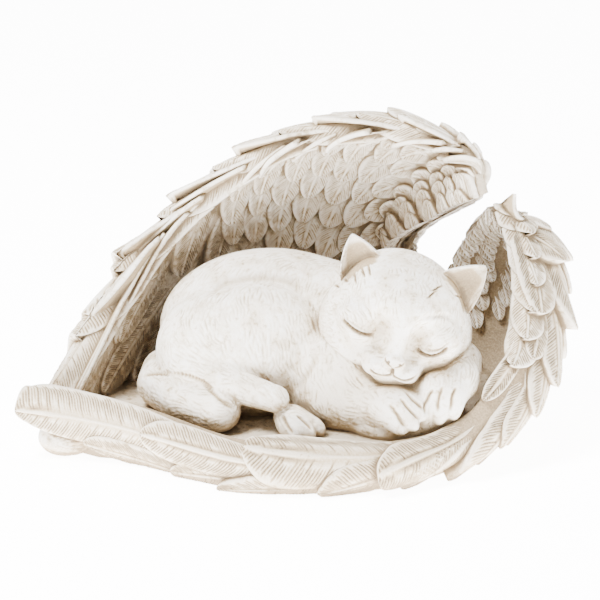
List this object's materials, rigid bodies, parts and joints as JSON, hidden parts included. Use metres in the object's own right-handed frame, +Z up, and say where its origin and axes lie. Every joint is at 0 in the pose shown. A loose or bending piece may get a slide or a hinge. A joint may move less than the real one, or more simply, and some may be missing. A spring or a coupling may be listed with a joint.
{
  "type": "pet memorial statue",
  "caption": "Kitten asleep in a nest of two folded feathered wings, cast in one piece, for a garden or a shelf.",
  "frame": {"origin": "a point on the flat underside, below the middle of the nest", "axes": "+X to the kitten's head end and the wings' shoulders, +Y to the back of the tall wing, +Z up; the viewer stands on -Y"},
  "size_m": [0.2619, 0.1795, 0.1501],
  "materials": {
    "cast_stone": "matt ivory cast resin with a thin grey-brown wash left in the carving"
  },
  "bodies": {
    "root": {"statue": "cast_stone"}
  },
  "joints": []
}
